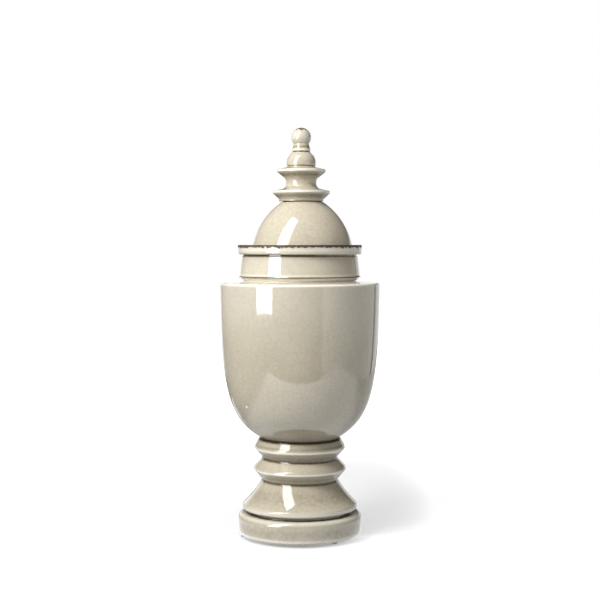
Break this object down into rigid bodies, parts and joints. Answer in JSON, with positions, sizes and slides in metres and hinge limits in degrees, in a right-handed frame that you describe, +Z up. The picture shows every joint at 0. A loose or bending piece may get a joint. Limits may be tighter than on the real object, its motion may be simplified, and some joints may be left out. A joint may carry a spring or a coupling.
{
  "type": "lidded urn vase",
  "caption": "Lidded stoneware urn vase: deep bowl with low shoulder, collar and banded rim on a ringed, flared pedestal; a loose domed lid with a stacked finial lifts out of the mouth.",
  "frame": {"origin": "on the floor, on the axis of the bowl and the pedestal, level with the undersides of the foot pads", "axes": "+Z up along the urn's axis, -Y towards the front, +X to the right as seen from the front"},
  "size_m": [0.1752, 0.1752, 0.4491],
  "materials": {
    "glaze": "glossy warm grey-beige crackle glaze, pale on raised edges and dark brown in the grooves",
    "cement": "matt dark brown bedding cement",
    "pad": "matt black"
  },
  "bodies": {
    "urn": {"bowl": "glaze", "pedestal": "glaze", "pedestal_cement": "cement", "foot_pad_front": "pad", "foot_pad_back": "pad", "foot_pad_left": "pad"},
    "lid": {"lid": "glaze", "finial": "glaze", "finial_cement": "cement"}
  },
  "joints": [
    {"name": "lid_lift", "type": "slide", "parent": "urn", "child": "lid", "axis": [0, 0, 1], "range_m": [0, 0.15]}
  ]
}
